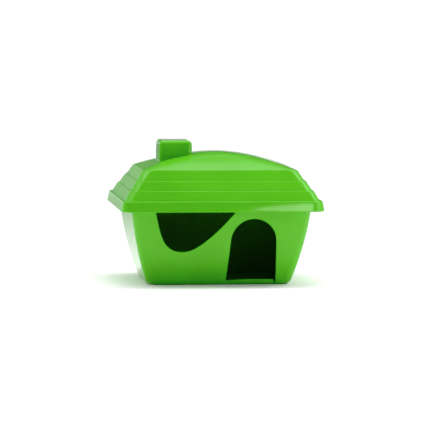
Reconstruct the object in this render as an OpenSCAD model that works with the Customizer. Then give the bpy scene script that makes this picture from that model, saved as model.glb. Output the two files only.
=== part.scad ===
// Small-rodent house: an open-topped tub with a door and a window, and a lift-off roof.
// The origin is the middle of the tub's underside, +Z is up and the door faces -Y.

/* [Overall] */
// Length of the roof's rim, over its lower edge
rim_l = 160; // [150:1:176]
// Depth of the roof's rim, over its lower edge
rim_d = 114; // [106:1:126]
// Thickness of the moulded walls
wall = 1.8; // [1.4:0.1:2.2]
// Gap left between the roof and the tub
clearance = 0.35; // [0.3:0.05:0.5]

/* [Tub] */
// Height of the lower edge of the roof's rim above the ground
rim_z = 59.2; // [56:0.1:64]
// How far the tub's wall stands in from the rim's lower edge
wall_inset = 9.4; // [8.6:0.1:11]
// Lean of the wall at its top, sideways travel over height
lean_top = 0.108; // [0.08:0.002:0.16]
// Lean of the wall at its foot, sideways travel over height
lean_foot = 0.363; // [0.28:0.003:0.4]
// Plan radius of the tub's upright corners
tub_corner_r = 7; // [6:0.5:10]
// Radius of the bend between the walls and the floor
foot_r = 5; // [4:0.1:6.5]
// Height of the floor inside the tub
floor_z = 2.6; // [2.4:0.1:3]
// Depth of the recess in the underside
recess_depth = 0.8; // [0.5:0.1:0.8]
// Height of the ledge that carries the roof, over the rim's lower edge
ledge_rise = 0.8; // [0.6:0.1:1.2]

/* [Door] */
// Position of the door's middle along the front
door_x = 25.2; // [22:0.2:27]
// Radius of the arch over the door
door_r = 17.9; // [16:0.1:18.5]
// Height of the arch's centre
door_spring_z = 35.1; // [32:0.1:36]
// Left end of the threshold
door_foot_left = 4.6; // [3:0.1:6]
// Right end of the threshold
door_foot_right = 44.1; // [43:0.1:45]
// Height of the threshold's left end
door_sill_z = 3.6; // [3.4:0.1:5]
// How much higher the threshold's right end is
sill_rise = 0.8; // [0:0.1:1]
// How far the threshold bows up between its ends
sill_bow = 0.45; // [0:0.05:0.6]
// Width of the notch at the end of the threshold
notch_w = 1.6; // [1.2:0.1:2]
// Height of the bottom of the notch
notch_z = 1.4; // [1:0.1:2.5]

/* [Window] */
// Left end of the window's straight upper edge
window_left = -52.3; // [-53:0.1:-50]
// Right end of the window's straight upper edge
window_right = 10.2; // [6:0.1:11]
// Place along the front of the window's lowest point
window_low_x = -30; // [-33:0.5:-28]
// Height of the window's lowest point
window_low_z = 26.8; // [25:0.1:30]

/* [Roof] */
// Height of the rim's outer band
rim_h = 8.3; // [7.8:0.1:9]
// How far the band leans in over its height
rim_flare = 1.9; // [1.6:0.1:2.2]
// Plan radius of the rim's corners
rim_corner_r = 8.5; // [8:0.5:11]
// Height of the bead round the rim's upper edge
bead_h = 0.6; // [0.4:0.1:0.8]
// Rise of the stepped slope
slope_h = 22.1; // [20:0.1:24]
// Number of steps in the slope
slope_steps = 3; // [2:1:4]
// Width of the flat on each step
step_w = 0.9; // [0.6:0.1:1.2]
// Plan run of the whole slope
slope_run = 15.3; // [14:0.1:17]
// Plan radius of the slope's corners
hip_r = 7; // [6.5:0.5:8]
// Height of the dome above the slope
dome_h = 13.2; // [11:0.1:15]

/* [Chimney] */
// Position of the chimney's middle along the roof
chimney_x = -32.6; // [-34:0.2:-30]
// Width and depth of the chimney at its foot
chimney_w = 26.2; // [22:0.2:28]
// Height of the chimney's top above the ground
chimney_z = 111.6; // [108:0.2:118]
// Radius of the chimney's edges
chimney_edge_r = 3.1; // [2:0.1:4]

/* [Hidden] */
plastic = [0.33, 0.72, 0.13];
corner_steps = 6;      // facets in each rounded corner of a section
wall_levels = 8;       // sections up the tub's curved wall
bend_levels = 3;       // sections round a small bend
dome_levels = 9;       // sections up the dome
curve_steps = 12;      // facets along each side of the window
sill_steps = 6;        // facets along the threshold
past = 1;              // how far a cutter runs past what it cuts
half_l = rim_l / 2;
half_d = rim_d / 2;
rim_top_z = rim_z + rim_h;
shoulder_z = rim_top_z + slope_h;
ledge_z = rim_z + ledge_rise;
ledge_bend = 2.2;      // radius of the bend where the wall turns out under the ledge
foot_lean = atan(lean_foot);
rim_under_z = rim_top_z - wall;
upstand_z = rim_under_z - clearance;
slope_inset = rim_flare + 1.5;                       // where the slope starts, in from the rim's lower edge
shoulder_inset = slope_inset + slope_run;
dome_curve_l = 1.9;    // power of the dome's arch along its length
dome_curve_d = 2.8;    // power of the dome's arch across its depth
dome_soften = 30;      // how much the plan radius of the dome's corners grows on the way up
chimney_draft = 0.025; // sideways travel over height of the chimney's faces
chimney_root_z = shoulder_z + 2;

// Sideways travel of the tub's wall from its top down to the height z
function lean(z) =
    let (fall = rim_z - z)
    lean_top * fall + (lean_foot - lean_top) * fall * fall / (2 * rim_z);

// Height at fraction t of a climb that runs from z0 to z1
function between(z0, z1, t) = z0 + (z1 - z0) * t;

// A rounded rectangle at height z, standing in by inset from the rim's lower edge
function section(inset, z, r) = ring(half_l - inset, half_d - inset, z, r);

// A rounded rectangle of half sizes a and b at height z, as a closed list of points
function ring(a, b, z, r) = [
    for (quarter = [0 : 3], i = [0 : corner_steps])
        let (
            angle = 90 * (quarter + i / corner_steps),
            side_x = (quarter == 0 || quarter == 3) ? 1 : -1,
            side_y = quarter < 2 ? 1 : -1
        )
        [side_x * (a - r) + r * cos(angle), side_y * (b - r) + r * sin(angle), z]
];

// A point at fraction t along a cubic curve with the four handles p
function cubic(p, t) =
    pow(1 - t, 3) * p[0] + 3 * t * pow(1 - t, 2) * p[1] + 3 * t * t * (1 - t) * p[2] + pow(t, 3) * p[3];

// A closed solid through a stack of sections, all with the same number of points
module loft(sections) {
    n = len(sections[0]);
    last = len(sections) - 1;
    sides = [
        for (k = [0 : last - 1], i = [0 : n - 1])
            let (j = (i + 1) % n)
            [k * n + i, (k + 1) * n + i, (k + 1) * n + j, k * n + j]
    ];
    base = [for (i = [0 : n - 1]) i];
    top = [for (i = [n - 1 : -1 : 0]) last * n + i];
    polyhedron(points = [for (s = sections) each s], faces = concat([base], sides, [top]), convexity = 6);
}

// Sections up a face of the tub: a bend out of the floor at low_z, then the curved wall to high_z
function tub_sides(inset, low_z, bend, high_z, r) =
    let (
        bend_top_z = low_z + bend * (1 - sin(foot_lean)),
        bend_inset = inset + lean(bend_top_z) + bend * cos(foot_lean)
    )
    concat(
        [for (i = [0 : bend_levels])
            let (angle = (90 - foot_lean) * i / bend_levels)
            section(bend_inset - bend * sin(angle), low_z + bend * (1 - cos(angle)), r)],
        [for (i = [1 : wall_levels])
            let (z = between(bend_top_z, high_z, i / wall_levels))
            section(inset + lean(z), z, r)]
    );

// The tub's outside as a solid block: foot, curved wall, ledge and upstand
module tub_block() {
    wall_top_z = ledge_z - ledge_bend;
    loft(concat(
        tub_sides(wall_inset, 0, foot_r, wall_top_z, tub_corner_r),
        [for (i = [1 : bend_levels])
            let (angle = 90 * i / bend_levels)
            section(wall_inset - ledge_bend * (1 - cos(angle)), wall_top_z + ledge_bend * sin(angle), tub_corner_r)],
        [section(wall + clearance + 0.2, ledge_z, rim_corner_r - 2.2),
         section(wall + clearance + rim_flare * 0.8, upstand_z, rim_corner_r - 3.6)]
    ));
}

// The room inside the tub, out through the top
module tub_room() {
    ledge_top_z = ledge_z + wall;
    inner_r = tub_corner_r - wall;
    upstand_inset = 2 * wall + clearance + rim_flare * 0.8 - 0.3;
    loft(concat(
        tub_sides(wall_inset + wall, floor_z, foot_r - wall, ledge_top_z, inner_r),
        [section(upstand_inset, ledge_top_z, inner_r),
         section(upstand_inset, upstand_z + past, inner_r)]
    ));
}

// The shallow recess in the tub's underside, which leaves a flat band to stand on
module foot_recess() {
    inset = wall_inset + lean(0) + foot_r + 6;
    loft([
        section(inset, -past, 5),
        section(inset + 0.4, recess_depth, 5)
    ]);
}

// Stands a flat outline up in the plane of the front wall and runs it through that wall
module through_front() {
    translate([0, -half_d + past, 0])
        rotate([90, 0, 0])
            mirror([0, 0, 1])
                linear_extrude(height = half_d / 2)
                    children();
}

// A point of the threshold at fraction t of the way from its left end to its right end
function sill_point(t) = [
    between(door_foot_left, door_foot_right, t),
    door_sill_z + sill_rise * t + sill_bow * 4 * t * (1 - t)
];

module door_outline() {
    translate([door_x, door_spring_z]) circle(r = door_r, $fn = 64);
    polygon(concat(
        [for (i = [0 : sill_steps]) sill_point(i / sill_steps)],
        [[door_x + door_r, door_spring_z], [door_x - door_r, door_spring_z]]
    ));
}

// The small notch at the right end of the threshold, which stops at the wall's inside
module sill_notch() {
    top_z = door_sill_z + sill_rise;
    translate([door_foot_right - notch_w, -half_d, notch_z])
        cube([notch_w, wall_inset + lean(top_z) + wall, top_z - notch_z + 0.2]);
}

module window_outline() {
    top_z = ledge_z - 1.8;
    low = [window_low_x, window_low_z];
    left_side = [
        [window_left, top_z],
        [window_left + 4.5, top_z - 20],
        [window_low_x - 15.5, window_low_z],
        low
    ];
    right_side = [
        low,
        [window_low_x + 11.5, window_low_z],
        [window_right - 13, top_z - 15],
        [window_right, top_z]
    ];
    polygon(concat(
        [for (i = [0 : curve_steps]) cubic(left_side, i / curve_steps)],
        [for (i = [1 : curve_steps]) cubic(right_side, i / curve_steps)]
    ));
}

// The tub: floor, curved walls with the door and the window, and the ledge that carries the roof
module base_tub() {
    color(plastic)
        difference() {
            tub_block();
            tub_room();
            foot_recess();
            through_front() door_outline();
            through_front() window_outline();
            sill_notch();
        }
}

// Sections up the dome, rise above base_z, for a wall that stands in by inset from the shoulder
function dome_sections(inset, base_z, rise, r) = [
    for (i = [1 : dome_levels])
        let (
            left = 1 - 0.97 * i / dome_levels,
            a = (half_l - shoulder_inset - inset) * pow(left, 2 / dome_curve_l),
            b = (half_d - shoulder_inset - inset) * pow(left, 2 / dome_curve_d)
        )
        ring(a, b, base_z + rise * (1 - left * left), min(r + dome_soften * (1 - left), 0.8 * a, 0.8 * b))
];

// The roof's outside as a solid block: rim, bead, gutter, stepped slope and dome
module roof_block() {
    step_h = slope_h / slope_steps;
    face_run = (slope_run - (slope_steps - 1) * step_w) / slope_steps;
    gutter_z = rim_top_z - bead_h;
    loft(concat(
        [section(0, rim_z, rim_corner_r),
         section(rim_flare - 0.3, rim_top_z - 1.1, rim_corner_r - 1.4),
         section(rim_flare, rim_top_z - 0.35, rim_corner_r - 1.6),
         section(rim_flare + 0.7, rim_top_z, rim_corner_r - 1.9),
         section(rim_flare + 1.1, rim_top_z, rim_corner_r - 2),
         section(slope_inset - 0.2, gutter_z, hip_r)],
        [for (i = [0 : slope_steps - 1], upper = [0, 1])
            let (inset = slope_inset + i * (face_run + step_w) + upper * face_run)
            section(inset, (i + upper == 0) ? gutter_z : rim_top_z + (i + upper) * step_h, hip_r)],
        dome_sections(0, shoulder_z, dome_h, hip_r)
    ));
}

// The space under the roof, down through the rim
module roof_room() {
    slope_wall = wall * 1.15;
    loft(concat(
        [section(wall - 0.2, rim_z - past, rim_corner_r - wall),
         section(wall + rim_flare * 0.8, rim_under_z, rim_corner_r - wall - 1.4),
         section(slope_inset + slope_wall, rim_under_z, hip_r - wall),
         section(shoulder_inset + slope_wall, shoulder_z - 0.6 * wall, hip_r - wall)],
        dome_sections(slope_wall, shoulder_z - 0.6 * wall, dome_h - 0.4 * wall, hip_r - wall)
    ));
}

// An upright box with drafted faces and rounded edges, centred on the chimney's axis
module chimney_box(half_w, foot_z, top_z, r) {
    side_top_z = top_z - r;
    translate([chimney_x, 0, 0])
        loft(concat(
            [ring(half_w, half_w, foot_z, r)],
            [for (i = [0 : bend_levels])
                let (
                    angle = 90 * i / bend_levels,
                    half = half_w - chimney_draft * (side_top_z - foot_z) - r * (1 - cos(angle))
                )
                ring(half, half, side_top_z + r * sin(angle), max(r * cos(angle), 0.2 * r))]
        ));
}

// The roof: rim, stepped slope, dome and hollow chimney in one moulding
module roof() {
    color(plastic)
        difference() {
            union() {
                roof_block();
                chimney_box(chimney_w / 2, chimney_root_z, chimney_z, chimney_edge_r);
            }
            roof_room();
            chimney_box(chimney_w / 2 - wall, chimney_root_z - 2 * past, chimney_z - wall, chimney_edge_r - wall);
        }
}

base_tub();
roof();
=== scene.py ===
import math

import bmesh
import bpy
from mathutils import Matrix, Vector
from mathutils.geometry import delaunay_2d_cdt


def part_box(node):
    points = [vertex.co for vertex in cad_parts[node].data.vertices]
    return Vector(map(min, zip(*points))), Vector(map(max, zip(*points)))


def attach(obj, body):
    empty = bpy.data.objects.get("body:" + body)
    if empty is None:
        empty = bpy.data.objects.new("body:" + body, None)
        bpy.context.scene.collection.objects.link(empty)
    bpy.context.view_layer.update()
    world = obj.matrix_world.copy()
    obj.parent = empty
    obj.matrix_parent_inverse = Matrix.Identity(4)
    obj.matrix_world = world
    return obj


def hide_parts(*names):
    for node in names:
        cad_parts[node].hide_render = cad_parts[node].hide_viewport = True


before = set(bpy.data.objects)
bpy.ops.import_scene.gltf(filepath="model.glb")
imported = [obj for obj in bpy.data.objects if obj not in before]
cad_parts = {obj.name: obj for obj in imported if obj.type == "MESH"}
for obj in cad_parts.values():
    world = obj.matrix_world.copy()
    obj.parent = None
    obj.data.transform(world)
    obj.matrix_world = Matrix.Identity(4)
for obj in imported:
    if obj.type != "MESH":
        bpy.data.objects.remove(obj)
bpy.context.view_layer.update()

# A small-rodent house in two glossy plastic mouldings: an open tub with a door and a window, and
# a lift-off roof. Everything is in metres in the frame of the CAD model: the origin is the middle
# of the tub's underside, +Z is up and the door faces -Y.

ROOF_LOW, ROOF_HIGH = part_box("roof")
TUB_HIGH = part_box("base_tub")[1]

# ---------------------------------------------------------------- sizes

# Taken from the frame
HALF_L = (ROOF_HIGH[0] - ROOF_LOW[0]) / 2
HALF_D = (ROOF_HIGH[1] - ROOF_LOW[1]) / 2
RIM_Z = ROOF_LOW[2]
CHIMNEY_Z = ROOF_HIGH[2]
UPSTAND_Z = TUB_HIGH[2]

# The design's own sizes, as in the CAD model
WALL = 0.0018
CLEARANCE = 0.00035
WALL_INSET = 0.0094
LEAN_TOP = 0.108
LEAN_FOOT = 0.363
TUB_CORNER_R = 0.007
FOOT_R = 0.005
FLOOR_Z = 0.0026
RECESS_DEPTH = 0.0008
RECESS_BAND = 0.006
RECESS_R = 0.005
RECESS_SLOPE = 0.0004
LEDGE_Z = RIM_Z + 0.0008
LEDGE_BEND = 0.0022
DOOR_X = 0.0252
DOOR_R = 0.0179
DOOR_SPRING_Z = 0.0351
DOOR_FOOT_LEFT = 0.0046
DOOR_FOOT_RIGHT = 0.0441
DOOR_SILL_Z = 0.0036
SILL_RISE = 0.0008
SILL_BOW = 0.00045
NOTCH_W = 0.0016
NOTCH_Z = 0.0014
NOTCH_INSIDE = 0.22  # how deep the notch is inside the wall, as a part of its depth outside
WINDOW_LEFT = -0.0523
WINDOW_RIGHT = 0.0102
WINDOW_LOW_X = -0.030
WINDOW_LOW_Z = 0.0268
WINDOW_TOP_Z = LEDGE_Z - 0.0018
WINDOW_LEFT_PULL = (0.0045, -0.020)    # handles of the window's curves, from its corners
WINDOW_RIGHT_PULL = (-0.013, -0.015)
WINDOW_LOW_PULLS = (-0.0155, 0.0115)   # and from its lowest point, to both sides
RIM_H = 0.0083
RIM_FLARE = 0.0019
RIM_CORNER_R = 0.0085
BEAD_H = 0.0006
SLOPE_H = 0.0221
SLOPE_STEPS = 3
STEP_W = 0.0009
SLOPE_RUN = 0.0153
HIP_R = 0.007
DOME_H = 0.0132
DOME_CURVE_L = 1.9   # power of the dome's arch along its length
DOME_CURVE_D = 2.8   # power of the dome's arch across its depth
DOME_SOFTEN = 0.030  # how much the plan radius of the dome's corners grows on the way up
DOME_TOP = 0.985     # how much of the climb is built before the dome is capped
ROUND_LIMIT = 0.8    # the most that a section is rounded, as a part of its half sizes
CHIMNEY_X = -0.0326
CHIMNEY_HALF = 0.0131
CHIMNEY_EDGE_R = 0.0031
CHIMNEY_DRAFT = 0.025
CHIMNEY_FILLET = 0.00012  # rounding at the chimney's foot
HOLLOW_BEND = 0.0004      # rounding where the chimney's hollow opens into the dome

RIM_TOP_Z = RIM_Z + RIM_H
SHOULDER_Z = RIM_TOP_Z + SLOPE_H
SLOPE_INSET = RIM_FLARE + 0.0015
SHOULDER_INSET = SLOPE_INSET + SLOPE_RUN
FOOT_LEAN = math.atan(LEAN_FOOT)

# How finely the meshes are cut
CORNER_CUTS = 12     # faces in each rounded corner of a section
LONG_CUTS = 44       # faces along a long side
SHORT_CUTS = 30      # faces along a short side
WALL_CUTS = 30       # sections up the tub's wall
DOME_CUTS = 26       # sections up the dome
BEND_CUTS = 5        # sections round a small bend
FOOT_CUTS = 8        # sections round the tub's foot, and round the turn under its ledge
EDGE_CUTS = 4        # sections round a cut edge
SILL_CUTS = 24       # points along the threshold
ARCH_CUTS = 40       # points round the door's arch
STACK_CUTS = 6       # sections up the chimney's sides
STACK_BEND_CUTS = 8  # sections round the chimney's top edge, and faces in its corners
STACK_SIDE_CUTS = 16  # faces along each side of the chimney
EDGE_R = 0.00035     # radius of a cut or moulded edge
EDGE_STRIP = 0.0002  # flat strip kept beside a rounded edge, so that it shades cleanly
LINE_BEND = 0.0003   # bend radius of the fine lines: bead, gutter, steps and recess
OUTLINE_STEP = 0.001  # spacing of the points on a cut outline
DOOR_CORNER = 0.00075    # how far the rounding of the door's corners reaches
WINDOW_CORNER = 0.0007   # and of the window's
CUT_MARGIN = 0.0008      # how far the wall's mesh is kept off the outlines of the openings
FOOT_MARGIN = 0.0009     # how far the dome's mesh is kept off the chimney's foot

# Columns of a section where its left and front sides start and end
LEFT_START = 2 * CORNER_CUTS + LONG_CUTS
LEFT_END = LEFT_START + SHORT_CUTS
FRONT_START = LEFT_END + CORNER_CUTS
FRONT_END = FRONT_START + LONG_CUTS


# ---------------------------------------------------------------- sections and profiles

def lean(z):
    """Sideways travel of the tub's wall from the rim's level down to the height z."""
    fall = RIM_Z - z
    return LEAN_TOP * fall + (LEAN_FOOT - LEAN_TOP) * fall * fall / (2 * RIM_Z)


def ring(a, b, z, r):
    """A rounded rectangle of half sizes a and b at height z, anticlockwise from +X, as Vectors.

    The order is: back right corner, back, back left corner, left, front left corner, front,
    front right corner, right.
    """
    points = []
    for quarter in range(4):
        side_x = 1 if quarter in (0, 3) else -1
        side_y = 1 if quarter < 2 else -1
        centre = Vector((side_x * (a - r), side_y * (b - r), z))
        for i in range(CORNER_CUTS):
            angle = math.radians(90 * (quarter + i / CORNER_CUTS))
            points.append(centre + Vector((r * math.cos(angle), r * math.sin(angle), 0)))
        cuts = LONG_CUTS if quarter in (0, 2) else SHORT_CUTS
        turn = math.radians(90 * (quarter + 1))
        start = centre + Vector((r * math.cos(turn), r * math.sin(turn), 0))
        run = 2 * (a - r) if quarter in (0, 2) else 2 * (b - r)
        along = Vector((math.cos(turn + math.pi / 2), math.sin(turn + math.pi / 2), 0))
        points.extend(start + along * (run * i / cuts) for i in range(cuts))
    return points


def section(inset, z, r):
    """A rounded rectangle at height z, standing in by inset from the rim's lower edge."""
    return ring(HALF_L - inset, HALF_D - inset, z, r)


def bent(profile, cuts=BEND_CUTS):
    """Rounds the corners of a profile of (inset, z, plan radius, bend radius) points.

    Returns (inset, z, plan radius) points. A flat strip is kept beside each bend.
    """
    out = []
    for i, (inset, z, plan_r, bend) in enumerate(profile):
        here = Vector((inset, z))
        if bend == 0 or i in (0, len(profile) - 1):
            out.append((inset, z, plan_r))
            continue
        before = Vector(profile[i - 1][:2]) - here
        after = Vector(profile[i + 1][:2]) - here
        half_angle = before.angle(after) / 2
        room_before = 0.9 * before.length * bend / (bend + profile[i - 1][3])
        room_after = 0.9 * after.length * bend / (bend + profile[i + 1][3])
        reach = min(bend / math.tan(half_angle), room_before, room_after)
        r = reach * math.tan(half_angle)
        before.normalize()
        after.normalize()
        centre = here + (before + after).normalized() * (r / math.sin(half_angle))
        first, last = here + before * reach - centre, here + after * reach - centre
        sweep = first.angle_signed(last)
        for k in range(cuts + 1):
            turn = -sweep * k / cuts
            arm = Vector((
                first.x * math.cos(turn) - first.y * math.sin(turn),
                first.x * math.sin(turn) + first.y * math.cos(turn),
            ))
            out.append((*(centre + arm), plan_r))
    return out


def wall_inset(z, skin, floor, bend):
    """Inset of the tub's wall at height z: skin is 0 outside and WALL inside."""
    inset = WALL_INSET + skin + lean(z)
    bend_top = floor + bend * (1 - math.sin(FOOT_LEAN))
    if z < bend_top:
        centre = WALL_INSET + skin + lean(bend_top) + bend * math.cos(FOOT_LEAN)
        rise = 1 - max(z - floor, 0) / bend
        inset = centre - bend * math.sqrt(max(1 - rise * rise, 0))
    turn_z = LEDGE_Z - LEDGE_BEND
    if skin == 0 and z > turn_z:
        rise = min((z - turn_z) / LEDGE_BEND, 1)
        inset -= LEDGE_BEND * (1 - math.sqrt(1 - rise * rise))
    return inset


def outer_wall(z):
    return wall_inset(z, 0, 0, FOOT_R)


def inner_wall(z):
    return wall_inset(z, WALL, FLOOR_Z, FOOT_R - WALL)


def bend_heights(floor, bend, cuts):
    """Heights of the sections round the bend between the floor and the wall."""
    sweep = math.pi / 2 - FOOT_LEAN
    return [floor + bend * (1 - math.cos(sweep * i / cuts)) for i in range(cuts + 1)]


def spread(low, high, count):
    """count heights from just above low up to high."""
    return [low + (high - low) * (i + 1) / count for i in range(count)]


# ---------------------------------------------------------------- shells

class Shell:
    """A closed mesh that is built from sections, patches and tubes."""

    def __init__(self):
        self.bm = bmesh.new()

    def ring(self, points):
        return [self.bm.verts.new(p) for p in points]

    def bridge(self, low, high, skip=None):
        """Joins two closed rows of the same length. skip is a range of columns left open."""
        n = len(low)
        for i in range(n):
            if skip and skip[0] <= i < skip[1]:
                continue
            j = (i + 1) % n
            self.bm.faces.new((low[i], low[j], high[j], high[i]))

    def cap(self, row):
        self.bm.faces.new(row)

    def stack(self, rows, holes=()):
        """Joins a stack of rows. holes lists (first row, last row, first column, last column)."""
        for k in range(len(rows) - 1):
            skip = None
            for first, last, start, end in holes:
                if first <= k < last:
                    skip = (start, end)
            self.bridge(rows[k], rows[k + 1], skip)

    def patch(self, rows, hole, flat, loops, keep_off):
        """Fills a block of a stack with triangles, round the loops that are cut out of it.

        flat turns a position into the two coordinates that the patch is drawn in. Vertices
        within keep_off of a loop are left out.
        """
        first, last, start, end = hole
        edge = [rows[first][j] for j in range(start, end + 1)]
        edge += [rows[k][end] for k in range(first + 1, last + 1)]
        edge += [rows[last][j] for j in range(end - 1, start - 1, -1)]
        edge += [rows[k][start] for k in range(last - 1, first, -1)]
        outlines = [[flat(v.co) for v in loop] for loop in loops]
        inner = []
        for k in range(first + 1, last):
            for j in range(start + 1, end):
                spot = flat(rows[k][j].co)
                if all(clear_of(spot, outline, keep_off) for outline in outlines):
                    inner.append(rows[k][j])
        verts = list(edge)
        links = [(i, (i + 1) % len(edge)) for i in range(len(edge))]
        for loop in loops:
            base = len(verts)
            verts.extend(loop)
            links += [(base + i, base + (i + 1) % len(loop)) for i in range(len(loop))]
        verts.extend(inner)
        spots = [flat(v.co) for v in verts]
        _, _, faces, origins, _, _ = delaunay_2d_cdt(spots, links, [], 0, 1e-7)
        boundary = [flat(v.co) for v in edge]
        for face in faces:
            corners = [origins[i][0] for i in face]
            middle = sum((spots[i] for i in corners), Vector((0, 0))) / len(corners)
            if not inside(middle, boundary) or any(inside(middle, o) for o in outlines):
                continue
            self.bm.faces.new([verts[i] for i in corners])

    def finish(self, name):
        """Makes the shell an object, with clean normals on its flats and rounded edges."""
        loose = [v for v in self.bm.verts if not v.link_faces]
        bmesh.ops.delete(self.bm, geom=loose, context="VERTS")
        bmesh.ops.recalc_face_normals(self.bm, faces=self.bm.faces)
        mesh = bpy.data.meshes.new(name)
        self.bm.to_mesh(mesh)
        self.bm.free()
        mesh.shade_smooth()
        piece = bpy.data.objects.new(name, mesh)
        bpy.context.scene.collection.objects.link(piece)
        weighted = piece.modifiers.new("clean normals", "WEIGHTED_NORMAL")
        weighted.mode = "FACE_AREA"
        weighted.weight = 60
        return piece


def inside(point, outline):
    """True if the point is inside the closed outline."""
    hit = False
    for i, a in enumerate(outline):
        b = outline[i - 1]
        if (a.y > point.y) != (b.y > point.y):
            if point.x < (b.x - a.x) * (point.y - a.y) / (b.y - a.y) + a.x:
                hit = not hit
    return hit


def clear_of(point, outline, distance):
    """True if the point is outside the outline and farther than distance from all its points."""
    if inside(point, outline):
        return False
    return all((point - p).length > distance for p in outline)


# ---------------------------------------------------------------- outlines

def resampled(points, step):
    """The same line with evenly spaced points."""
    lengths = [0.0]
    for a, b in zip(points, points[1:]):
        lengths.append(lengths[-1] + (b - a).length)
    count = max(1, round(lengths[-1] / step))
    out, k = [], 0
    for i in range(count + 1):
        want = lengths[-1] * i / count
        while k < len(points) - 2 and lengths[k + 1] < want:
            k += 1
        part = (want - lengths[k]) / (lengths[k + 1] - lengths[k])
        out.append(points[k].lerp(points[k + 1], min(part, 1)))
    return out


def joined(runs, corner, cuts=6):
    """Joins runs of points end to start into a closed outline, with rounded corners."""
    trimmed = []
    for run in runs:
        inner = [p for p in run if min((p - run[0]).length, (p - run[-1]).length) > corner]
        head = run[0] + (run[1] - run[0]).normalized() * corner
        tail = run[-1] + (run[-2] - run[-1]).normalized() * corner
        trimmed.append(resampled([head, *inner, tail], OUTLINE_STEP))
    outline = []
    for i, run in enumerate(trimmed):
        outline.extend(run)
        after = trimmed[(i + 1) % len(trimmed)][0]
        tip = runs[i][-1]
        for k in range(1, cuts):
            t = k / cuts
            outline.append(run[-1] * (1 - t) ** 2 + tip * (2 * t * (1 - t)) + after * t * t)
    return outline


def grown(outline, distance):
    """The outline moved outwards by distance, or by less where it turns the other way."""
    out = []
    for i, here in enumerate(outline):
        before = here - outline[i - 1]
        after = outline[(i + 1) % len(outline)] - here
        turn = before.x * after.y - before.y * after.x
        move = distance
        if turn < 0:
            radius = before.length * after.length * (before + after).length / (-2 * turn)
            move = min(distance, 0.7 * radius)
        along = (before + after).normalized()
        out.append(here + Vector((along.y, -along.x)) * move)
    return out


def cubic(handles, count=24):
    """Points along a cubic curve."""
    p0, p1, p2, p3 = handles
    points = []
    for i in range(count + 1):
        t = i / count
        s = 1 - t
        points.append(p0 * s ** 3 + p1 * (3 * t * s * s) + p2 * (3 * t * t * s) + p3 * t ** 3)
    return points


def sill_point(t):
    """A point of the threshold at the fraction t of the way from left to right."""
    x = DOOR_FOOT_LEFT + (DOOR_FOOT_RIGHT - DOOR_FOOT_LEFT) * t
    return Vector((x, DOOR_SILL_Z + SILL_RISE * t + SILL_BOW * 4 * t * (1 - t)))


def door_outline():
    """The door, anticlockwise in the plane of X and Z: sill, notch, right jamb, arch, left jamb."""
    sill = [sill_point(i / SILL_CUTS) for i in range(SILL_CUTS - 1)]  # the notch takes the rest
    sill_end = sill_point(1)
    sill.append(Vector((sill_end.x - NOTCH_W, sill_end.y)))
    notch_left = Vector((sill[-1].x, NOTCH_Z))
    notch_right = Vector((sill_end.x, NOTCH_Z))
    arch = [
        Vector((
            DOOR_X + DOOR_R * math.cos(math.pi * i / ARCH_CUTS),
            DOOR_SPRING_Z + DOOR_R * math.sin(math.pi * i / ARCH_CUTS),
        ))
        for i in range(ARCH_CUTS + 1)
    ]
    return joined([
        sill,
        [sill[-1], notch_left],
        [notch_left, notch_right],
        [notch_right, sill_end, *arch, sill[0]],
    ], DOOR_CORNER)


def window_outline():
    """The window, anticlockwise: left side down to the lowest point, right side up, top edge."""
    low = Vector((WINDOW_LOW_X, WINDOW_LOW_Z))
    top_left = Vector((WINDOW_LEFT, WINDOW_TOP_Z))
    top_right = Vector((WINDOW_RIGHT, WINDOW_TOP_Z))
    low_left = Vector((WINDOW_LOW_X + WINDOW_LOW_PULLS[0], WINDOW_LOW_Z))
    low_right = Vector((WINDOW_LOW_X + WINDOW_LOW_PULLS[1], WINDOW_LOW_Z))
    left_side = cubic([top_left, top_left + Vector(WINDOW_LEFT_PULL), low_left, low])
    right_side = cubic([low, low_right, top_right + Vector(WINDOW_RIGHT_PULL), top_right])
    return joined([left_side + right_side[1:], [top_right, top_left]], WINDOW_CORNER)


# ---------------------------------------------------------------- tub

def cut_through_front(shell, outline):
    """Makes the rounded tube of an opening in the front wall. Returns its outer and inner ends."""
    rows = []

    def row(growth, depth, wall):
        points = []
        for p in grown(outline, growth):
            z = p.y
            if wall is inner_wall and z < DOOR_SILL_Z:
                z = DOOR_SILL_Z - (DOOR_SILL_Z - z) * NOTCH_INSIDE
            points.append(Vector((p.x, -HALF_D + wall(z) + depth, z)))
        rows.append(shell.ring(points))

    row(EDGE_R + EDGE_STRIP, 0, outer_wall)
    for k in range(EDGE_CUTS + 1):
        turn = math.pi / 2 * k / EDGE_CUTS
        row(EDGE_R * (1 - math.sin(turn)), EDGE_R * (1 - math.cos(turn)), outer_wall)
    for k in range(EDGE_CUTS, -1, -1):
        turn = math.pi / 2 * k / EDGE_CUTS
        row(EDGE_R * (1 - math.sin(turn)), -EDGE_R * (1 - math.cos(turn)), inner_wall)
    row(EDGE_R + EDGE_STRIP, 0, inner_wall)
    shell.stack(rows)
    return rows[0], rows[-1]


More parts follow.
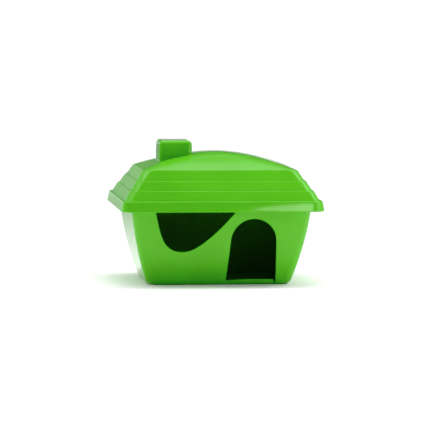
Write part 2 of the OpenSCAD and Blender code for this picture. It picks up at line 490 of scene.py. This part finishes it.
def make_tub():
    shell = Shell()
    band_inset = WALL_INSET + lean(0) + FOOT_R + RECESS_BAND
    recess_inset = band_inset + RECESS_SLOPE
    under = bent([
        (recess_inset + 0.003, RECESS_DEPTH, 0.0035, 0),     # top of the recess
        (recess_inset, RECESS_DEPTH, RECESS_R, LINE_BEND),
        (band_inset, 0, RECESS_R, LINE_BEND),                # band that the tub stands on
        (outer_wall(0) + 0.0006, 0, TUB_CORNER_R, 0),
    ])
    foot_heights = bend_heights(0, FOOT_R, FOOT_CUTS)
    turn_z = LEDGE_Z - LEDGE_BEND
    wall_heights = foot_heights + spread(foot_heights[-1], turn_z, WALL_CUTS)
    turns = [math.pi / 2 * i / FOOT_CUTS for i in range(1, FOOT_CUTS + 1)]
    turn_heights = [turn_z + LEDGE_BEND * math.sin(turn) for turn in turns]
    outside = [(outer_wall(z), z, TUB_CORNER_R) for z in wall_heights + turn_heights]
    ledge_top = LEDGE_Z + WALL
    ledge_edge = WALL + CLEARANCE + 0.0002
    upstand_edge = WALL + CLEARANCE + RIM_FLARE * 0.8
    upstand_inside = upstand_edge + WALL - 0.0003
    inner_r = TUB_CORNER_R - WALL
    top = bent([
        (outer_wall(LEDGE_Z) - 0.0004, LEDGE_Z, TUB_CORNER_R, 0),   # underside of the ledge
        (ledge_edge, LEDGE_Z, RIM_CORNER_R - 0.0022, 0.0004),       # its outer edge
        (upstand_edge, UPSTAND_Z, RIM_CORNER_R - 0.0036, 0.0006),   # top of the upstand
        (upstand_inside, UPSTAND_Z, inner_r, 0.0006),
        (upstand_inside, ledge_top, inner_r, 0.0006),               # top of the ledge
        (inner_wall(ledge_top), ledge_top, inner_r, 0.0007),
        (inner_wall(ledge_top - 0.0025), ledge_top - 0.0025, inner_r, 0),
    ])
    floor_heights = bend_heights(FLOOR_Z, FOOT_R - WALL, FOOT_CUTS)
    room_heights = floor_heights + spread(floor_heights[-1], ledge_top - 0.0045, WALL_CUTS)
    inside_rows = [(inner_wall(z), z, inner_r) for z in reversed(room_heights)]
    floor = [(inner_wall(FLOOR_Z) + 0.0006, FLOOR_Z, inner_r - 0.0005)]
    profile = under + outside + top + inside_rows + floor
    rows = [shell.ring(section(*p)) for p in profile]

    # Blocks of the front wall, outside and inside, that the openings are cut out of
    outer_first = len(under) + 3
    outer_last = len(under) + len(wall_heights) + 3
    room_first = len(under) + len(outside) + len(top) - 1
    inner_last = room_first + len(room_heights) - 2
    outer_block = (outer_first, outer_last, FRONT_START, FRONT_END)
    inner_block = (room_first, inner_last, FRONT_START, FRONT_END)
    shell.stack(rows, [outer_block, inner_block])
    shell.cap(rows[0])
    shell.cap(rows[-1])

    ends = [cut_through_front(shell, outline) for outline in (door_outline(), window_outline())]

    def flat(co):
        return Vector((co.x, co.z))

    shell.patch(rows, outer_block, flat, [outer for outer, _ in ends], CUT_MARGIN)
    shell.patch(rows, inner_block, flat, [inner for _, inner in ends], CUT_MARGIN)
    return shell.finish("base_tub_moulding")


# ---------------------------------------------------------------- roof

class Dome:
    """A dome of rounded rectangles that shrink to its top, over the shoulder of the roof."""

    def __init__(self, inset, base_z, rise, corner_r):
        self.a = HALF_L - SHOULDER_INSET - inset
        self.b = HALF_D - SHOULDER_INSET - inset
        self.base_z = base_z
        self.rise = rise
        self.corner_r = corner_r

    def outline(self, left):
        """Half sizes and corner radius where the fraction left of the climb remains."""
        a = self.a * left ** (2 / DOME_CURVE_L)
        b = self.b * left ** (2 / DOME_CURVE_D)
        softened = self.corner_r + DOME_SOFTEN * (1 - left)
        return a, b, min(softened, ROUND_LIMIT * a, ROUND_LIMIT * b)

    def height(self, x, y):
        """Height of the dome's surface over a point of the plan."""
        low, high = 0.0, 1.0
        for _ in range(40):
            middle = (low + high) / 2
            a, b, r = self.outline(middle)
            qx, qy = abs(x) - (a - r), abs(y) - (b - r)
            gap = math.hypot(max(qx, 0), max(qy, 0)) + min(max(qx, qy), 0) - r
            if gap > 0:
                low = middle
            else:
                high = middle
        return self.base_z + self.rise * (1 - high * high)

    def sections(self):
        rows = []
        for i in range(1, DOME_CUTS + 1):
            left = 1 - DOME_TOP * i / DOME_CUTS
            a, b, r = self.outline(left)
            rows.append(ring(a, b, self.base_z + self.rise * (1 - left * left), r))
        return rows


def square(half, r):
    """A rounded square round the chimney's axis, anticlockwise, as flat points."""
    points = []
    for quarter in range(4):
        side_x = 1 if quarter in (0, 3) else -1
        side_y = 1 if quarter < 2 else -1
        centre = Vector((CHIMNEY_X + side_x * (half - r), side_y * (half - r)))
        for i in range(STACK_BEND_CUTS + 1):
            angle = math.radians(90 * (quarter + i / STACK_BEND_CUTS))
            points.append(centre + Vector((math.cos(angle), math.sin(angle))) * r)
        turn = math.radians(90 * (quarter + 1))
        along = Vector((math.cos(turn + math.pi / 2), math.sin(turn + math.pi / 2)))
        start = points[-1]
        step = along * (2 * (half - r) / STACK_SIDE_CUTS)
        points.extend(start + step * i for i in range(1, STACK_SIDE_CUTS))
    return points


def make_chimney(shell, dome, half, r, top_z, fillet):
    """Raises a rounded box from the dome. Returns its foot, which is a loop on the dome.

    A negative fillet rounds the foot the other way, as the mouth of a hollow.
    """
    rows = []
    root_z = dome.height(CHIMNEY_X, 0)
    outward = 1 if fillet > 0 else -1
    fillet = abs(fillet)

    def row(shift, lift, plan_r):
        rows.append(shell.ring([
            Vector((p.x, p.y, dome.height(p.x, p.y) + lift)) for p in square(half + shift, plan_r)
        ]))

    row(outward * (fillet + EDGE_STRIP), 0, r + outward * (fillet + EDGE_STRIP))
    for k in range(EDGE_CUTS + 1):
        turn = math.pi / 2 * k / EDGE_CUTS
        shift = fillet * (1 - math.sin(turn))
        row(outward * shift, outward * fillet * (1 - math.cos(turn)), r + outward * shift)
    side_top_z = top_z - r
    side_half = half - CHIMNEY_DRAFT * (side_top_z - root_z)
    least_r = 0.04 * r
    foot = [v.co.copy() for v in rows[-1]]
    goal = square(side_half, r)
    for k in range(1, STACK_CUTS + 1):
        rows.append(shell.ring([
            p.lerp(Vector((g.x, g.y, side_top_z)), k / STACK_CUTS) for p, g in zip(foot, goal)
        ]))
    for k in range(1, STACK_BEND_CUTS + 1):
        turn = math.pi / 2 * k / STACK_BEND_CUTS
        plan_r = max(r * math.cos(turn), least_r)
        rows.append(shell.ring([
            Vector((g.x, g.y, side_top_z + r * math.sin(turn)))
            for g in square(side_half - r * (1 - math.cos(turn)), plan_r)
        ]))
    inner = square(side_half - r - 0.0008, least_r)
    rows.append(shell.ring([Vector((g.x, g.y, top_z)) for g in inner]))
    shell.stack(rows)
    shell.cap(rows[-1])
    return rows[0]


def make_roof():
    shell = Shell()
    step_h = SLOPE_H / SLOPE_STEPS
    face_run = (SLOPE_RUN - (SLOPE_STEPS - 1) * STEP_W) / SLOPE_STEPS
    gutter_z = RIM_TOP_Z - BEAD_H
    slope_wall = WALL * 1.15
    inner_r = HIP_R - WALL
    rim_under_z = RIM_TOP_Z - WALL
    inner_shoulder_z = SHOULDER_Z - 0.6 * WALL

    profile = [
        (SHOULDER_INSET + slope_wall, inner_shoulder_z, inner_r, 0),        # inside of the slope
        (SLOPE_INSET + slope_wall, rim_under_z, inner_r, 0.0010),
        (WALL + RIM_FLARE * 0.8, rim_under_z, RIM_CORNER_R - WALL - 0.0014, 0.0008),
        (WALL - 0.0002, RIM_Z, RIM_CORNER_R - WALL, 0.0005),                # low edge of the rim
        (0, RIM_Z, RIM_CORNER_R, 0.0006),
        (RIM_FLARE - 0.0001, RIM_TOP_Z, RIM_CORNER_R - 0.0017, 0.0014),     # bead
        (RIM_FLARE + 0.0012, RIM_TOP_Z, RIM_CORNER_R - 0.0020, 0.0004),
        (SLOPE_INSET, gutter_z, HIP_R, LINE_BEND),                          # gutter
    ]
    for i in range(SLOPE_STEPS):
        foot = SLOPE_INSET + i * (face_run + STEP_W)
        if i:
            profile.append((foot, RIM_TOP_Z + i * step_h, HIP_R, LINE_BEND))
        profile.append((foot + face_run, RIM_TOP_Z + (i + 1) * step_h, HIP_R, 0.00045))
    profile[-1] = (SHOULDER_INSET, SHOULDER_Z, HIP_R, 0)  # the last step ends sharp, at the dome
    under = Dome(slope_wall, inner_shoulder_z, DOME_H - 0.4 * WALL, inner_r)
    over = Dome(0, SHOULDER_Z, DOME_H, HIP_R)

    rows = [shell.ring(points) for points in reversed(under.sections())]
    under_rows = len(rows)
    rows += [shell.ring(section(*p)) for p in bent(profile)]
    over_start = len(rows) - 1
    rows += [shell.ring(points) for points in over.sections()]

    reach = CHIMNEY_HALF + 0.0025

    def block(dome, row_of):
        """The rows and columns of the dome that hold the chimney's foot."""
        hits = []
        for i in range(DOME_CUTS + 1):
            half_length = dome.outline(1 - DOME_TOP * i / DOME_CUTS)[0]
            if abs(half_length + CHIMNEY_X) < reach:
                hits.append(row_of(i))
        first, last = min(hits) - 1, max(hits) + 1
        return first, last, LEFT_START - CORNER_CUTS, LEFT_END + CORNER_CUTS

    over_block = block(over, lambda i: over_start + i)
    under_block = block(under, lambda i: under_rows - i)
    shell.stack(rows, [over_block, under_block])
    shell.cap(rows[0])
    shell.cap(rows[-1])

    foot = make_chimney(shell, over, CHIMNEY_HALF, CHIMNEY_EDGE_R, CHIMNEY_Z, CHIMNEY_FILLET)
    hollow_half, hollow_r, hollow_z = CHIMNEY_HALF - WALL, CHIMNEY_EDGE_R - WALL, CHIMNEY_Z - WALL
    hollow = make_chimney(shell, under, hollow_half, hollow_r, hollow_z, -HOLLOW_BEND)

    def flat(co):
        return Vector((co.x, co.y))

    shell.patch(rows, over_block, flat, [foot], FOOT_MARGIN)
    shell.patch(rows, under_block, flat, [hollow], FOOT_MARGIN)
    return shell.finish("roof_moulding")


# ---------------------------------------------------------------- material

PLASTIC_DEEP = (0.097, 0.445, 0.029, 1)
PLASTIC_BRIGHT = (0.103, 0.475, 0.033, 1)
PLASTIC_HIGHLIT = (0.15, 0.58, 0.05, 1)  # painted highlight: the paler colour of the rounded edges, where they catch the light
# how strongly the painted edge highlight is mixed in
EDGE_HIGHLIGHT = 0.35
ROUGHNESS = 0.08
ROUGHNESS_MARKED = 0.12
ROUGHNESS_EDGE = 0.16
RIPPLE = 0.00006    # slow waves of the moulded skin, in metres
GRAIN = 0.0000015   # fine unevenness of the moulded skin
IOR = 1.42
SPECULAR_TINT = (0.8, 1, 0.65, 1)
EDGE_SHARPNESS = (0.53, 0.62)  # pointiness where an edge begins and is complete

# Blobs per metre of the noise behind the mottling, the marks, the ripple and the grain
CLOUD_SCALE = 26.0
MARK_SCALE = 70.0
RIPPLE_SCALE = 32.0
GRAIN_SCALE = 900.0


def node(tree, kind, **values):
    """Adds a node, with its plain settings and the values of its inputs."""
    made = tree.nodes.new(kind)
    for key, value in values.items():
        if hasattr(made, key):
            setattr(made, key, value)
        else:
            made.inputs[key.replace("_", " ")].default_value = value
    return made


def ramp(tree, value, low, high):
    """0 below low, 1 above high and smooth between."""
    made = node(tree, "ShaderNodeMapRange", interpolation_type="SMOOTHSTEP")
    made.inputs["From Min"].default_value = low
    made.inputs["From Max"].default_value = high
    tree.links.new(value, made.inputs["Value"])
    return made.outputs["Result"]


def blend(tree, factor, low, high):
    """low where the factor is 0 and high where it is 1. Both are numbers or sockets."""
    made = node(tree, "ShaderNodeMix", data_type="FLOAT")
    for socket, value in ((made.inputs[0], factor), (made.inputs[2], low), (made.inputs[3], high)):
        if isinstance(value, float):
            socket.default_value = value
        else:
            tree.links.new(value, socket)
    return made.outputs[0]


def maths(tree, operation, *values):
    """The result of a maths node. Each value is a number or a socket."""
    made = node(tree, "ShaderNodeMath", operation=operation)
    for socket, value in zip(made.inputs, values):
        if isinstance(value, (int, float)):
            socket.default_value = value
        else:
            tree.links.new(value, socket)
    return made.outputs[0]


def noise(tree, place, scale, detail, roughness=0.5):
    """Smooth noise of about 0 to 1. scale is in blobs per metre."""
    made = node(tree, "ShaderNodeTexNoise", Scale=scale, Detail=detail, Roughness=roughness)
    tree.links.new(place, made.inputs["Vector"])
    return made.outputs[0]


def bump(tree, height, depth, under=None):
    """Raises the surface by depth metres where the height is 1, over another bump."""
    made = node(tree, "ShaderNodeBump", Strength=1.0, Distance=depth)
    tree.links.new(height, made.inputs["Height"])
    if under:
        tree.links.new(under, made.inputs["Normal"])
    return made.outputs["Normal"]


def plastic_material():
    """Glossy opaque green plastic with faint mottling, handling marks, a slight ripple and a
    painted highlight along its edges.
    """
    material = bpy.data.materials.new("green_plastic")
    material.use_nodes = True
    tree = material.node_tree
    link = tree.links.new
    shader = tree.nodes["Principled BSDF"]
    shader.inputs["IOR"].default_value = IOR
    shader.inputs["Specular Tint"].default_value = SPECULAR_TINT
    place = node(tree, "ShaderNodeTexCoord").outputs["Object"]

    clouds = ramp(tree, noise(tree, place, CLOUD_SCALE, 2.0), 0.3, 0.7)
    tones = node(tree, "ShaderNodeMix", data_type="RGBA")
    link(clouds, tones.inputs[0])
    tones.inputs[6].default_value = PLASTIC_DEEP
    tones.inputs[7].default_value = PLASTIC_BRIGHT
    pointiness = node(tree, "ShaderNodeNewGeometry").outputs["Pointiness"]
    edges = ramp(tree, pointiness, *EDGE_SHARPNESS)
    # Paler edges: a painted highlight along the rounded edges, mixed in by their pointiness.
    edge_shine = node(tree, "ShaderNodeMix", data_type="RGBA")
    link(maths(tree, "MULTIPLY", edges, EDGE_HIGHLIGHT), edge_shine.inputs[0])
    link(tones.outputs[2], edge_shine.inputs[6])
    edge_shine.inputs[7].default_value = PLASTIC_HIGHLIT
    link(edge_shine.outputs[2], shader.inputs["Base Color"])

    marks = ramp(tree, noise(tree, place, MARK_SCALE, 5.0, 0.65), 0.45, 0.75)
    gloss = blend(tree, marks, ROUGHNESS, ROUGHNESS_MARKED)
    link(blend(tree, edges, gloss, ROUGHNESS_EDGE), shader.inputs["Roughness"])

    ripple = bump(tree, noise(tree, place, RIPPLE_SCALE, 1.0), RIPPLE)
    grain = bump(tree, noise(tree, place, GRAIN_SCALE, 2.0), GRAIN, ripple)
    link(grain, shader.inputs["Normal"])
    return material


# ---------------------------------------------------------------- build

plastic = plastic_material()
for make, node_name, body in ((make_tub, "base_tub", "tub"), (make_roof, "roof", "roof")):
    piece = make()
    piece.data.materials.append(plastic)
    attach(piece, body)
    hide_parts(node_name)

# ---------------------------------------------------------------- stage

FLOOR_HALF = 60.0
FLOOR_TONE = 0.97
LIT_CENTRE = (0.10, -0.25, 0)  # middle of the lit floor, as the object's reflections see it
LIT_REACH = (0.2, 1.0)         # how far out it is lit
UNLIT_TONE = 0.3
BACKDROP_Y = (1.6, 3.0)  # where the floor turns into the pale backdrop, as reflections see it


def paper_material():
    """White paper. For reflections its colour is painted darker away from the object, as painted
    shade, and grows pale again far behind it.
    """
    material = bpy.data.materials.new("paper")
    material.use_nodes = True
    tree = material.node_tree
    shader = tree.nodes["Principled BSDF"]
    shader.inputs["Roughness"].default_value = 1.0
    shader.inputs["Specular IOR Level"].default_value = 0.0
    place = node(tree, "ShaderNodeNewGeometry").outputs["Position"]
    distance = node(tree, "ShaderNodeVectorMath", operation="DISTANCE")
    tree.links.new(place, distance.inputs[0])
    distance.inputs[1].default_value = LIT_CENTRE
    # Painted shade: for all but camera rays, the floor's colour darkens away from LIT_CENTRE.
    far = ramp(tree, distance.outputs["Value"], *LIT_REACH)
    split = node(tree, "ShaderNodeSeparateXYZ")
    tree.links.new(place, split.inputs[0])
    backdrop = ramp(tree, split.outputs[1], *BACKDROP_Y)
    tone = blend(tree, far, FLOOR_TONE, blend(tree, backdrop, UNLIT_TONE, FLOOR_TONE))
    seen = node(tree, "ShaderNodeLightPath").outputs["Is Camera Ray"]
    colour = node(tree, "ShaderNodeCombineColor")
    total = blend(tree, seen, tone, FLOOR_TONE)
    for socket in colour.inputs:
        tree.links.new(total, socket)
    tree.links.new(colour.outputs[0], shader.inputs["Base Color"])
    return material


floor_mesh = bpy.data.meshes.new("floor")
floor_mesh.from_pydata(
    [(-FLOOR_HALF, -FLOOR_HALF, 0), (FLOOR_HALF, -FLOOR_HALF, 0),
     (FLOOR_HALF, FLOOR_HALF, 0), (-FLOOR_HALF, FLOOR_HALF, 0)],
    [], [(0, 1, 2, 3)])
floor = bpy.data.objects.new("floor", floor_mesh)
bpy.context.scene.collection.objects.link(floor)
floor_mesh.materials.append(paper_material())

# ---------------------------------------------------------------- camera

YAW = math.radians(8.245)        # the camera stands to the left of the front
PITCH = math.radians(5.321)      # and looks down
ROLL = math.radians(0.577)
DISTANCE = 2.2936
LENS = 244.4
TARGET = Vector((0, 0, 0.060))
OFF_CENTRE = (-0.00083, -0.00671)  # how far the view's middle lies right of and above the target

level = Vector((math.sin(YAW), math.cos(YAW), 0))
forward = level * math.cos(PITCH) - Vector((0, 0, math.sin(PITCH)))
right = Vector((math.cos(YAW), -math.sin(YAW), 0))
up = right.cross(forward)
eye = TARGET - forward * DISTANCE
aim = TARGET + right * OFF_CENTRE[0] + up * OFF_CENTRE[1]
sight = (aim - eye).normalized()
side = (right - sight * right.dot(sight)).normalized()
head = side.cross(sight)
rolled_side = side * math.cos(ROLL) + head * math.sin(ROLL)
rolled_head = head * math.cos(ROLL) - side * math.sin(ROLL)
camera_data = bpy.data.cameras.new("camera")
camera_data.lens = LENS
camera_data.sensor_width = 36
camera_data.clip_end = 200
camera = bpy.data.objects.new("camera", camera_data)
turn = Matrix((rolled_side, rolled_head, -sight)).transposed().to_4x4()
camera.matrix_world = Matrix.Translation(eye) @ turn
bpy.context.scene.collection.objects.link(camera)
bpy.context.scene.camera = camera

# ---------------------------------------------------------------- light

# Radiance of the parts of the studio that surround the object
FRONT = 0.05         # the dark side of the studio, behind the camera
BACK_HORIZON = 0.42  # the pale backdrop on the left, close to the floor
BACK_LEFT = 1.0      # the same farther to the left
BACK_EDGE = 0.42     # the same on the right
BACK_LOW = 0.10      # the backdrop higher up
BACK_HIGH = 0.45     # the backdrop high above the object
OVERHEAD = 6.1       # a large soft box above the object
OVERHEAD_SEEN = 3.4  # the same as reflections show it
BELOW = 1.0          # seen only past the edge of the floor
LOW_BOX = 0.24       # a long low strip behind the object's left side
LEFT_BOX = 2.2       # a wide soft box to the left, which reflections don't show
TOP_BOX = 1.0        # another behind the top of the object, which they don't show either
LEFT_HIGH = 0.8      # two soft boxes high up, to the left and the right
RIGHT_HIGH = 0.5
SIDE_BOX = 1.6       # a soft box to the right of the object, in front
CARD = 6.8           # a small bright card in front and to the right

# Points of the tone curve: light, and how bright it is shown
CONTRAST = ((0.012, 0.005), (0.035, 0.0135), (0.08, 0.062), (0.15, 0.145), (0.25, 0.25))
CARD_TIP = (0.0385, -0.176, 0.1022)
CARD_LOW = (0.0945, -0.176, 0.0955)
CARD_HIGH = (0.0945, -0.176, 0.1095)

# Where the overhead soft box fades, as sideways or backward travel over height: none, full
BOX_SIDE = (1.3, 0.9)
BOX_LEFT = 1.9     # how much narrower the box is on the left
BOX_FRONT = (-0.32, 0.0)
BOX_BACK = (0.65, -0.12)
LEAST_RISE = 0.05  # stands in for the height of directions that climb less, or fall

# Where the parts of the studio meet, as parts of a direction of length 1: start and end of a fade
BEHIND_Y = (-0.15, 0.25)
HIGH_Z = (0.45, 0.70)
HORIZON_Z = (-0.02, -0.01)
RISEN_Z = (0.09, 0.16)        # the top of the pale band along the horizon, on the right
RISEN_LEFT_Z = (0.28, 0.45)   # and on the left
RIGHTWARD_X = (-0.13, -0.03)
LEFTWARD_X = (0.18, 0.50)     # counted to the left


def make_world():
    """A studio that is bright overhead, pale behind and dark in front."""
    world = bpy.data.worlds.new("studio")
    world.use_nodes = True
    tree = world.node_tree
    direction = node(tree, "ShaderNodeTexCoord").outputs["Generated"]
    split = node(tree, "ShaderNodeSeparateXYZ")
    tree.links.new(direction, split.inputs[0])
    x, y, z = split.outputs
    rise = maths(tree, "MAXIMUM", z, LEAST_RISE)
    sideways = maths(tree, "DIVIDE", x, rise)
    across = maths(tree, "MAXIMUM", sideways, maths(tree, "MULTIPLY", sideways, -BOX_LEFT))
    back = maths(tree, "DIVIDE", y, rise)
    width = ramp(tree, across, *BOX_SIDE)
    front_edge = ramp(tree, back, *BOX_FRONT)
    back_edge = ramp(tree, back, *BOX_BACK)
    box = maths(tree, "MULTIPLY", maths(tree, "MULTIPLY", width, front_edge), back_edge)

    behind = ramp(tree, y, *BEHIND_Y)
    high = ramp(tree, z, *HIGH_Z)
    above = ramp(tree, z, *HORIZON_Z)
    risen = ramp(tree, z, *RISEN_Z)
    risen_left = ramp(tree, z, *RISEN_LEFT_Z)
    rightward = ramp(tree, x, *RIGHTWARD_X)
    leftward = ramp(tree, maths(tree, "MULTIPLY", x, -1.0), *LEFTWARD_X)
    left_part = blend(tree, risen_left, blend(tree, leftward, BACK_HORIZON, BACK_LEFT), BACK_LOW)
    right_part = blend(tree, risen, BACK_EDGE, BACK_LOW)
    backdrop = blend(tree, rightward, left_part, right_part)
    low_part = blend(tree, behind, FRONT, backdrop)
    high_part = blend(tree, behind, FRONT, BACK_HIGH)
    mirrored = node(tree, "ShaderNodeLightPath").outputs["Is Glossy Ray"]
    overhead = blend(tree, mirrored, OVERHEAD, OVERHEAD_SEEN)
    upper = blend(tree, box, blend(tree, high, low_part, high_part), overhead)
    total = blend(tree, above, BELOW, upper)
    tree.links.new(total, tree.nodes["Background"].inputs["Strength"])
    tree.nodes["Background"].inputs["Color"].default_value = (1, 1, 1, 1)
    return world


def soft_box(name, place, target, width, height, radiance, mirrored=True):
    """A rectangular soft light at a place, turned to a target. The camera does not see it.

    Reflections show it only if it is mirrored.
    """
    data = bpy.data.lights.new(name, "AREA")
    data.shape = "RECTANGLE"
    data.size = width
    data.size_y = height
    data.energy = radiance * math.pi * width * height
    lamp = bpy.data.objects.new(name, data)
    lamp.visible_camera = False
    lamp.visible_glossy = mirrored
    turn = (Vector(target) - Vector(place)).to_track_quat("-Z", "Y").to_matrix().to_4x4()
    lamp.matrix_world = Matrix.Translation(place) @ turn
    bpy.context.scene.collection.objects.link(lamp)


def make_card():
    """A small bright card, whose pointed end shows as a wedge in the front of the rim."""
    mesh = bpy.data.meshes.new("card")
    mesh.from_pydata([CARD_TIP, CARD_LOW, CARD_HIGH], [], [(0, 1, 2)])
    glow = bpy.data.materials.new("card")
    glow.use_nodes = True
    shader = glow.node_tree.nodes["Principled BSDF"]
    shader.inputs["Base Color"].default_value = (0, 0, 0, 1)
    shader.inputs["Specular IOR Level"].default_value = 0.0
    shader.inputs["Emission Color"].default_value = (1, 1, 1, 1)
    shader.inputs["Emission Strength"].default_value = CARD
    mesh.materials.append(glow)
    card = bpy.data.objects.new("card", mesh)
    card.visible_camera = False
    card.visible_shadow = False
    bpy.context.scene.collection.objects.link(card)


def set_contrast(view):
    """The photograph's tone curve: shadows fall off faster than the light does."""
    view.view_transform = "Standard"
    view.use_curve_mapping = True
    curve = view.curve_mapping.curves[3]
    for light, shown in CONTRAST:
        curve.points.new(light, shown)
    view.curve_mapping.update()


scene = bpy.context.scene
set_contrast(scene.view_settings)
scene.world = make_world()
soft_box("low", (-0.234, 0.238, 0.055), (-0.041, -0.027, 0.055), 0.31, 0.040, LOW_BOX)
soft_box("left", (-0.60, -0.10, 0.22), (0, 0, 0.07), 0.50, 0.30, LEFT_BOX, False)
soft_box("top", (0.02, 0.18, 0.75), (0, 0, 0.09), 0.50, 0.50, TOP_BOX, False)
soft_box("left high", (-0.50, 0.05, 0.52), (0, 0, 0.06), 0.50, 0.50, LEFT_HIGH)
soft_box("right high", (0.50, 0.05, 0.52), (0, 0, 0.06), 0.50, 0.50, RIGHT_HIGH)
soft_box("side", (0.40, -0.30, 0.25), (0, 0, 0.05), 0.50, 0.50, SIDE_BOX)
make_card()
